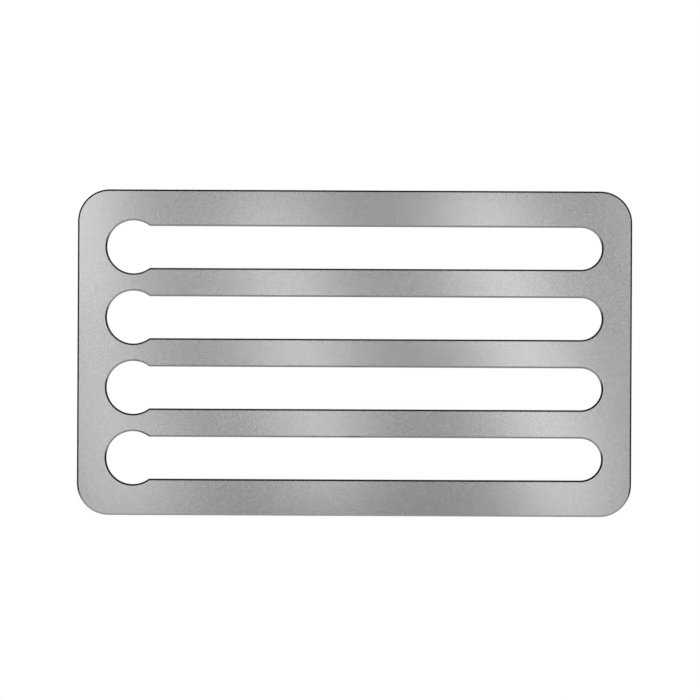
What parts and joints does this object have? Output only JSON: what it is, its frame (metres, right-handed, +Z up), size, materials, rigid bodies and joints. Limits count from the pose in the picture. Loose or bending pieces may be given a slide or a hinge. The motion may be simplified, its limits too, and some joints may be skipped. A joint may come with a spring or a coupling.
{
  "type": "coffee capsule holder",
  "caption": "Flat stainless steel plate with keyhole tracks that hold coffee capsules by their rims, standing off a wall or refrigerator door on hidden magnetic feet.",
  "frame": {"origin": "on the wall plane behind the middle of the plate, at the end face of the middle bumper", "axes": "+X to the right along the tracks, from the round entries to the closed ends; +Y out of the back into the wall, so the front faces -Y; +Z up"},
  "size_m": [0.4, 0.011, 0.235],
  "materials": {
    "plate_steel": "satin stainless steel, laser-cut edges bevelled",
    "stud_steel": "plain stainless steel",
    "cup_steel": "zinc plated steel",
    "magnet_nickel": "nickel plated",
    "boot_rubber": "matt moulded rubber",
    "bumper_rubber": "matt moulded rubber",
    "tape_foam": "closed-cell foam tape"
  },
  "bodies": {
    "root": {"front_plate": "plate_steel", "weld_stud_top_left": "stud_steel", "magnet_cup_top_left": "cup_steel", "disc_magnet_top_left": "magnet_nickel", "rubber_boot_top_left": "boot_rubber", "weld_stud_top_right": "stud_steel", "magnet_cup_top_right": "cup_steel", "disc_magnet_top_right": "magnet_nickel", "rubber_boot_top_right": "boot_rubber", "weld_stud_bottom_left": "stud_steel", "magnet_cup_bottom_left": "cup_steel", "disc_magnet_bottom_left": "magnet_nickel", "rubber_boot_bottom_left": "boot_rubber", "weld_stud_bottom_right": "stud_steel", "magnet_cup_bottom_right": "cup_steel", "disc_magnet_bottom_right": "magnet_nickel", "rubber_boot_bottom_right": "boot_rubber", "bumper_tape_1": "tape_foam", "wall_bumper_1": "bumper_rubber", "bumper_tape_2": "tape_foam", "wall_bumper_2": "bumper_rubber", "bumper_tape_3": "tape_foam", "wall_bumper_3": "bumper_rubber", "bumper_tape_4": "tape_foam", "wall_bumper_4": "bumper_rubber", "bumper_tape_5": "tape_foam", "wall_bumper_5": "bumper_rubber"}
  },
  "joints": []
}
